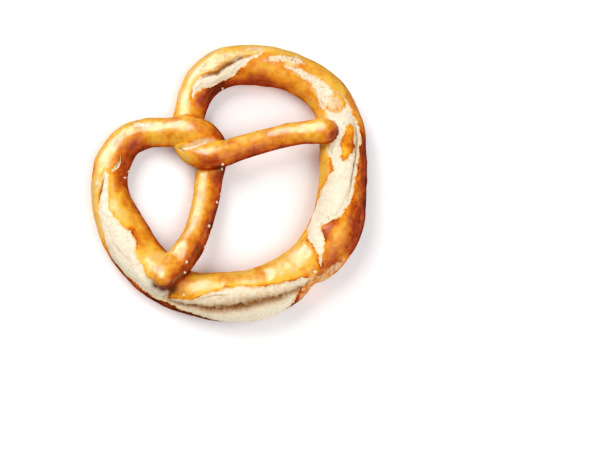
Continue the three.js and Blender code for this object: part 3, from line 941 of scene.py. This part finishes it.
def dough_material(colours):
    """Lye-baked crust, torn open on pale crumb, with a plain browned base."""
    material, wire = new_material("Pretzel crust and crumb")
    place = in_millimetres(wire)
    flow = wire.add("ShaderNodeAttribute", attribute_name="flow").outputs["Vector"]
    stretch = wire.add("ShaderNodeMapping", {"Vector": flow, "Scale": DRAWN_OUT}).outputs[0]
    fibres = mottle(wire, stretch, 3.5, 0.3, 0.7, 6.0)

    # the crumb shows where the tear's distance, with a ragged edge, is above zero
    tear = wire.more(wire.mask("tear"), swing(wire, place, 0.45, 0.0, 1.0, 3.0), 1.6)
    tear = wire.more(tear, swing(wire, place, 2.0, 0.2, 0.8, 3.0), 0.35)
    crumb = wire.step(tear, -0.15, 0.2)
    bare = bare_skin(wire, place)
    pale = open_crumb(wire, place, fibres, colours)
    creases = wire.times(mottle(wire, stretch, 1.1, 0.4, 0.65, 5.0), 0.7)
    blotches = mottle(wire, place, 0.2, 0.3, 0.7, 6.0)

    # each layer covers the ones before it
    colour = browned_crust(wire, place, stretch, tear, colours)
    for mask, strength, layer in (
        (bare, 0.95, thin_skin(wire, place, pale, colours)),
        (wire.mask("band"), 0.9, wire.mix(creases, colours.pressed, colours.crumb_pore_and_shade)),
        (wire.mask("line"), 1.0, colours.crumb),
        (crumb, 1.0, toasted_crumb(wire, place, tear, pale, colours)),
        # painted shade at the bottoms of crevices
        (wire.mask("shaded_hollow"), 0.9, colours.crevice),
        # painted shadow in the cranny under the left arm's tip
        (wire.mask("shaded_cranny"), 0.95, colours.crust_dark),
        (wire.mask("base"), 1.0, wire.mix(blotches, colours.base_light, colours.base_dark)),
    ):
        colour = wire.mix(wire.times(mask, strength), colour, layer)

    # crumb, bare skin, base and pressed band are matte, and the rest shines in patches
    matte = wire.math("MAXIMUM", crumb, wire.times(bare, 0.8))
    for name in ("base", "band"):
        matte = wire.math("MAXIMUM", matte, wire.mask(name))
    sheen = mottle(wire, place, 0.25, 0.3, 0.7)
    shiny = wire.more(0.32, sheen, 0.16)
    gloss = wire.times(wire.math("SUBTRACT", 1.0, matte), wire.mask("gloss"))
    patchy = wire.step(mottle(wire, place, 0.05, 0.3, 0.7, 3.0), 0.2, 0.8, 0.8, 1.3)
    shader = {
        "Base Color": colour,
        "Roughness": wire.math("ADD", shiny, wire.times(matte, 0.5), clamp=True),
        "Specular IOR Level": wire.times(gloss, 0.2),
        "Coat Weight": wire.math("MULTIPLY", gloss, patchy, clamp=True),
        "Coat Roughness": wire.more(0.22, sheen, 0.18),
        "Coat IOR": CRUST_COAT_IOR,
        "Normal": dough_bump(wire, place, stretch, fibres, wire.math("MAXIMUM", crumb, bare)),
    }
    finish_material(wire, shader)
    return material


def salt_material(colours):
    """White rock salt: clouded inside, with bright worn faces."""
    material, wire = new_material("Coarse salt")
    place = in_millimetres(wire)
    height = mottle(wire, place, 2.2, 0.2, 0.8, 6.0)
    bump = wire.add("ShaderNodeBump", {"Height": height, "Strength": 0.6, "Distance": 0.08 * MM})
    shader = {
        "Base Color": wire.mix(mottle(wire, place, 1.4, 0.3, 0.7, 5.0), colours.salt, colours.salt_shade),
        "Roughness": wire.more(0.18, mottle(wire, place, 2.5, 0.3, 0.7), 0.3),
        "Normal": bump.outputs["Normal"],
    }
    finish_material(wire, shader)
    return material


def table_material(colours):
    """A plain pale table top with the faintest grain, fading far off into the white backdrop."""
    material, wire = new_material("Pale table")
    place = in_millimetres(wire)
    cloud = wire.times(mottle(wire, place, 0.02, 0.2, 0.8), 0.25)
    away = wire.add("ShaderNodeVectorMath", {"Vector": place}, operation="LENGTH").outputs["Value"]
    seen = wire.add("ShaderNodeLightPath").outputs["Is Camera Ray"]
    shader = {
        "Base Color": wire.mix(cloud, colours.table, colours.table_shade),
        "Roughness": 0.8,
        "Emission Strength": wire.times(wire.step(away, FADE_FROM_MM, FADE_TO_MM), seen),
    }
    finish_material(wire, shader)
    return material


# --------------------------------------------------------------------------------------------
# Salt

SALT_SIZE = 0.95  # of its grain's box
SALT_LIFT = 0.05  # off the crust, as a share of the grain's least side
SALT_FACES = 11
SALT_FACE_DEPTHS = (0.30, 0.40)  # nearest and farthest from the middle, as shares of the width
SALT_CHIPS = 0.02


def crystal(bm, size, seed):
    """Adds a chipped lump of salt: a round ball cut by flat faces, of a width, depth and height."""
    made = bmesh.ops.create_icosphere(bm, subdivisions=3, radius=0.5)["verts"]
    rng = np.random.default_rng(seed)
    cuts = [(unit(way), rng.uniform(*SALT_FACE_DEPTHS)) for way in rng.normal(size=(SALT_FACES, 3))]
    for vert in made:
        spot = np.array(vert.co)
        for direction, depth in cuts:
            spot -= direction * max(spot @ direction - depth, 0.0)
        chip = SALT_CHIPS * noise.noise(Vector(spot) * 7 + Vector((seed, 0, 0)))
        vert.co = Vector((spot * (1 + chip)) * size)


# --------------------------------------------------------------------------------------------
# Settings


def length_property(name, description, metres):
    return bpy.props.FloatProperty(name=name, description=description, default=metres, unit="LENGTH")


def angle_property(name, description, degrees):
    angle = math.radians(degrees)
    return bpy.props.FloatProperty(name=name, description=description, default=angle, subtype="ANGLE")


def colour_property(name, description, red, green, blue):
    return bpy.props.FloatVectorProperty(
        name=name, description=description, subtype="COLOR", size=3, min=0.0, max=1.0,
        default=tint(red, green, blue),
    )


class PretzelShape(bpy.types.PropertyGroup):
    grain: length_property("Mesh grain", "Width of a face of the dough's mesh", 1.0 * MM)
    lip: length_property("Crust lip", "How far the crust curls up beside a tear", 0.35 * MM)
    sink: length_property("Crumb step", "How far the crumb lies below a torn edge", 0.4 * MM)
    swell: length_property("Crumb swell", "How far the crumb bulges in mid tear", 0.5 * MM)


class PretzelColours(bpy.types.PropertyGroup):
    crust_pale: colour_property("Pale crust", "Crust that hardly browned", 228, 182, 112)
    crust_gold: colour_property("Golden crust", "Lightly browned crust", 242, 184, 56)
    crust_amber: colour_property("Amber crust", "Crust at its usual colour", 222, 130, 8)
    crust_brown: colour_property("Brown crust", "Well browned crust", 172, 60, 6)
    crust_dark: colour_property("Dark crust", "The darkest red-brown crust", 98, 30, 8)
    crumb: colour_property("Crumb", "Open crumb in the tears", 240, 231, 211)
    crumb_shade: colour_property("Crumb shade", "Flecks and hollows in the crumb", 226, 206, 168)
    # for real pores, and for painted shade on the crevices' slopes
    crumb_pore_and_shade: colour_property("Crumb pores", "Pores and deeper slopes of the crumb", 196, 154, 96)
    crumb_edge: colour_property("Crumb edge", "Toasted crumb just under the torn crust", 228, 190, 130)
    freckle: colour_property("Freckles", "Toasted freckles where the skin is thin", 186, 122, 58)
    pressed: colour_property("Pressed fold", "Dull dough pressed flat in the twist", 214, 180, 130)
    # painted shade at the bottom of a crack
    crevice: colour_property("Crevice", "Bottom of a deep crack", 146, 90, 36)
    base_light: colour_property("Base, light", "Light part of the flat underside", 205, 140, 72)
    base_dark: colour_property("Base, dark", "Dark part of the flat underside", 160, 88, 36)
    salt: colour_property("Salt", "Clear white of the salt", 240, 226, 196)
    salt_shade: colour_property("Salt shade", "Clouded part of the salt", 214, 186, 140)
    table: colour_property("Table", "Table top", 252, 252, 252)
    table_shade: colour_property("Table shade", "Faint grain of the table", 244, 244, 244)


class PretzelStage(bpy.types.PropertyGroup):
    azimuth: angle_property("Azimuth", "Side that the camera looks from", -38)
    elevation: angle_property("Elevation", "Height angle of the camera", 78)
    distance: length_property("Distance", "From the camera to its aim", 0.782)
    aim: bpy.props.FloatVectorProperty(
        name="Aim", description="Point in the middle of the view", default=(0.01331, -0.03644, 0.0),
        subtype="TRANSLATION",
    )
    lens: bpy.props.FloatProperty(name="Lens", description="Focal length in millimetres", default=85.0)


SETTINGS = {"pretzel_shape": PretzelShape, "pretzel_colours": PretzelColours, "pretzel_stage": PretzelStage}

# --------------------------------------------------------------------------------------------
# Operators

TABLE_HALF_WIDTH = 3.0
TABLE_DROP = 0.2 * MM  # keeps the table's top just clear of the base
# Soft boxes by name: direction from the aim, distance, width and height in metres, and watts.
SOFT_BOXES = {
    "key_light": ((-0.12, 0.8, 0.66), 1.1, 0.9, 1.3, 14.5),
    "fill_light": ((0.2, -0.8, 1.1), 1.4, 1.2, 1.2, 19.0),
}
ROOM_COLOUR = (1.0, 0.99, 0.97)
ROOM_LIGHT = 0.14  # falls softly from all sides
BACKDROP = 0.9  # how bright the room looks behind the table


def link(name, mesh, material):
    piece = bpy.data.objects.new(name, mesh)
    piece.data.materials.append(material)
    bpy.context.scene.collection.objects.link(piece)
    return piece


class PRETZEL_OT_dough(bpy.types.Operator):
    """Bake the knotted rope of dough, with its tears and crevices"""

    bl_idname = "pretzel.dough"
    bl_label = "Bake Dough"

    def execute(self, context):
        material = dough_material(context.scene.pretzel_colours)
        piece = link("pretzel_dough", dough_mesh(context.scene.pretzel_shape), material)
        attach(piece, "root")
        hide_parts("pretzel")
        return {"FINISHED"}


class PRETZEL_OT_salt(bpy.types.Operator):
    """Press the coarse grains of salt into the crust"""

    bl_idname = "pretzel.salt"
    bl_label = "Add Salt"

    def execute(self, context):
        crust = bpy.data.objects["pretzel_dough"]
        material = salt_material(context.scene.pretzel_colours)
        grains = sorted(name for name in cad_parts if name.startswith("salt_grain_"))
        for seed, node in enumerate(grains):
            low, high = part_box(node)
            found, seat, normal, _ = crust.closest_point_on_mesh((low + high) / 2)
            if not found:
                raise RuntimeError("no crust under " + node)
            bm = bmesh.new()
            crystal(bm, np.array(high - low) * SALT_SIZE, seed)
            bmesh.ops.translate(bm, verts=bm.verts, vec=seat + normal * SALT_LIFT * min(high - low))
            piece = link(node.replace("salt_grain", "salt_crystal"), as_mesh(bm, "salt"), material)
            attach(piece, "root")
            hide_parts(node)
        return {"FINISHED"}


def add_table(colours):
    """The pale table top, left out of the crust's reflections."""
    bm = bmesh.new()
    bmesh.ops.create_grid(bm, x_segments=2, y_segments=2, size=TABLE_HALF_WIDTH)
    table = link("table_top", as_mesh(bm, "table_top"), table_material(colours))
    table.location.z = -TABLE_DROP
    table.visible_glossy = False


def soft_box(name, direction, distance, width, height, watts, aim):
    """A soft box that faces its aim."""
    light = bpy.data.lights.new(name, "AREA")
    light.shape = "RECTANGLE"
    light.size = width
    light.size_y = height
    light.energy = watts
    holder = bpy.data.objects.new(name, light)
    way = Vector(direction).normalized()
    holder.location = aim + way * distance
    holder.rotation_euler = way.to_track_quat("Z", "Y").to_euler()
    bpy.context.scene.collection.objects.link(holder)
    return holder


def soft_room():
    """A white backdrop that lights the pretzel softly and isn't mirrored in its crust."""
    world = bpy.data.worlds.new("Soft room")
    world.use_nodes = True
    wire = Wiring(world.node_tree)
    background = world.node_tree.nodes["Background"]
    background.inputs["Color"].default_value = (*ROOM_COLOUR, 1.0)
    rays = wire.add("ShaderNodeLightPath").outputs
    seen = wire.times(rays["Is Camera Ray"], BACKDROP)
    strength = wire.more(seen, wire.math("SUBTRACT", 1.0, rays["Is Glossy Ray"]), ROOM_LIGHT)
    wire.feed(background.inputs["Strength"], strength)
    return world


def add_camera(setting, aim):
    camera = bpy.data.cameras.new("camera")
    camera.lens = setting.lens
    holder = bpy.data.objects.new("camera", camera)
    side, high = setting.azimuth, setting.elevation
    back = Vector((math.sin(side) * math.cos(high), -math.cos(side) * math.cos(high), math.sin(high)))
    holder.location = aim + back * setting.distance
    holder.rotation_euler = back.to_track_quat("Z", "Y").to_euler()
    bpy.context.scene.collection.objects.link(holder)
    bpy.context.scene.camera = holder


class PRETZEL_OT_stage(bpy.types.Operator):
    """Set the pale table, the soft lights and the camera"""

    bl_idname = "pretzel.stage"
    bl_label = "Set Stage"

    def execute(self, context):
        setting = context.scene.pretzel_stage
        aim = Vector(setting.aim)
        add_table(context.scene.pretzel_colours)
        for name, placing in SOFT_BOXES.items():
            light = soft_box(name, *placing, aim)
            light.visible_glossy = name == "key_light"
        context.scene.world = soft_room()
        context.scene.view_settings.view_transform = "Standard"
        add_camera(setting, aim)
        return {"FINISHED"}


class VIEW3D_PT_pretzel(bpy.types.Panel):
    """The pretzel's pieces, in the order they are made"""

    bl_label = "Soft Pretzel"
    bl_space_type = "VIEW_3D"
    bl_region_type = "UI"
    bl_category = "Pretzel"

    def draw(self, context):
        for operator in OPERATORS:
            self.layout.operator(operator.bl_idname)
        for setting, kind in SETTINGS.items():
            box = self.layout.box()
            for name in kind.__annotations__:
                box.prop(getattr(context.scene, setting), name)


OPERATORS = (PRETZEL_OT_dough, PRETZEL_OT_salt, PRETZEL_OT_stage)
CLASSES = (*SETTINGS.values(), *OPERATORS, VIEW3D_PT_pretzel)


def register():
    for kind in CLASSES:
        bpy.utils.register_class(kind)
    for name, kind in SETTINGS.items():
        setattr(bpy.types.Scene, name, bpy.props.PointerProperty(type=kind))


def unregister():
    for name in SETTINGS:
        delattr(bpy.types.Scene, name)
    for kind in reversed(CLASSES):
        bpy.utils.unregister_class(kind)


def main():
    register()
    bpy.ops.pretzel.dough()
    bpy.ops.pretzel.salt()
    bpy.ops.pretzel.stage()


if __name__ == "__main__":
    main()
